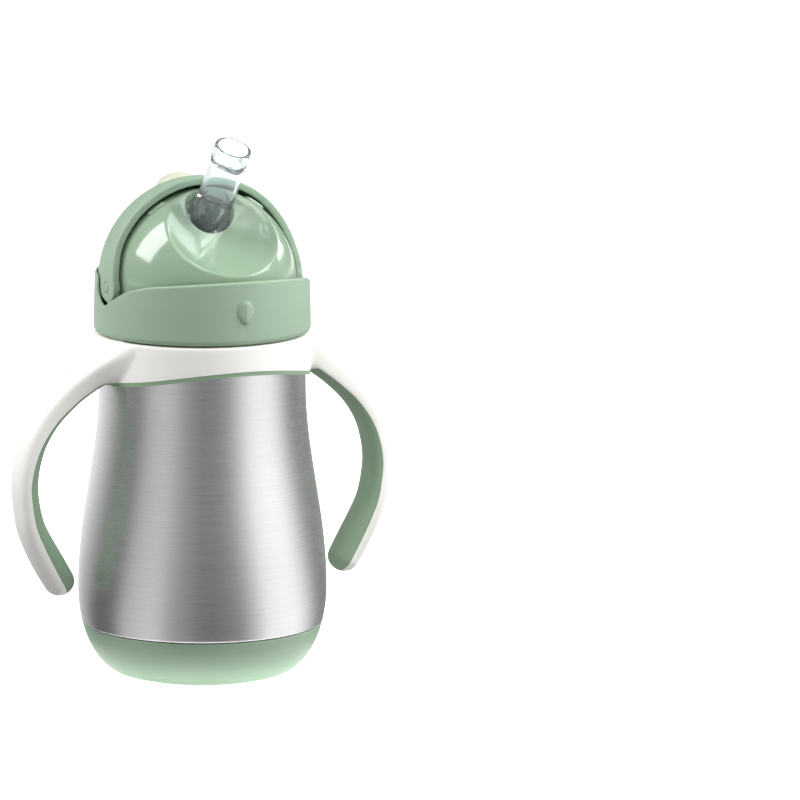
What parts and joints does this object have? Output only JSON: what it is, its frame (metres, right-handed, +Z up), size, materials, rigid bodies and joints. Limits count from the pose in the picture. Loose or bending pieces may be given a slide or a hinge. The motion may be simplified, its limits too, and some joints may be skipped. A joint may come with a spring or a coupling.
{
  "type": "sippy cup",
  "caption": "Insulated toddler straw cup: bell-shaped steel body, ring with two curved handles, screw lid with a flip-up straw and a swinging domed hood.",
  "frame": {"origin": "centre of the cup's underside, on the body's axis", "axes": "+Z up along the body; -Y is the front with the drop marker; +X is the hood's hinge axis and the line through both handles"},
  "size_m": [0.1276, 0.0784, 0.1711],
  "materials": {
    "sage_matte": "fine satin moulded polypropylene, sage green",
    "sage_gloss": "polished moulded polypropylene, sage green",
    "sage_soft": "soft over-moulded grip, sage green, matt",
    "cream_plastic": "satin moulded polypropylene, warm white",
    "knob_plastic": "satin moulded plastic, pale stone",
    "steel": "stainless steel brushed round the body",
    "silicone": "clear food-grade silicone, glossy",
    "getter_metal": "dull pressed metal powder"
  },
  "bodies": {
    "cup": {"base_cap": "sage_matte", "base_plate": "steel", "getter_pellet": "getter_metal", "outer_shell": "steel", "inner_liner": "steel", "handle_ring": "cream_plastic", "grip_liner": "sage_soft"},
    "seal": {"lid_gasket": "silicone"},
    "lid": {"lid_collar": "sage_matte", "drinking_dome": "sage_gloss", "hinge_pin_right": "sage_matte", "hinge_pin_left": "sage_matte", "vent_valve": "silicone", "spout_base": "silicone", "drinking_straw": "silicone"},
    "hood": {"flip_hood": "sage_matte", "thumb_knob": "knob_plastic"},
    "spout": {"spout_tip": "silicone"}
  },
  "joints": [
    {"name": "lid_lift", "type": "slide", "parent": "cup", "child": "seal", "axis": [0, 0, 1], "range_m": [0, 0.00501]},
    {"name": "lid_unscrew", "type": "hinge", "parent": "seal", "child": "lid", "pos_m": [0, 0, 0.105], "axis": [0, 0, 1], "range_deg": [0, 450]},
    {"name": "hood_swing", "type": "hinge", "parent": "lid", "child": "hood", "pos_m": [0, 0, 0.124], "axis": [1, 0, 0], "range_deg": [0, 77]},
    {"name": "spout_fold", "type": "hinge", "parent": "lid", "child": "spout", "pos_m": [0, -0.0053, 0.146], "axis": [1, 0, 0], "range_deg": [0, 112], "deforming": ["spout_tip"]}
  ],
  "couplings": [
    {"joint": "lid_lift", "follows": "lid_unscrew", "m_per_rad": 0.00063662},
    {"joint": "spout_fold", "follows": "hood_swing", "ratio": 1.4286}
  ]
}
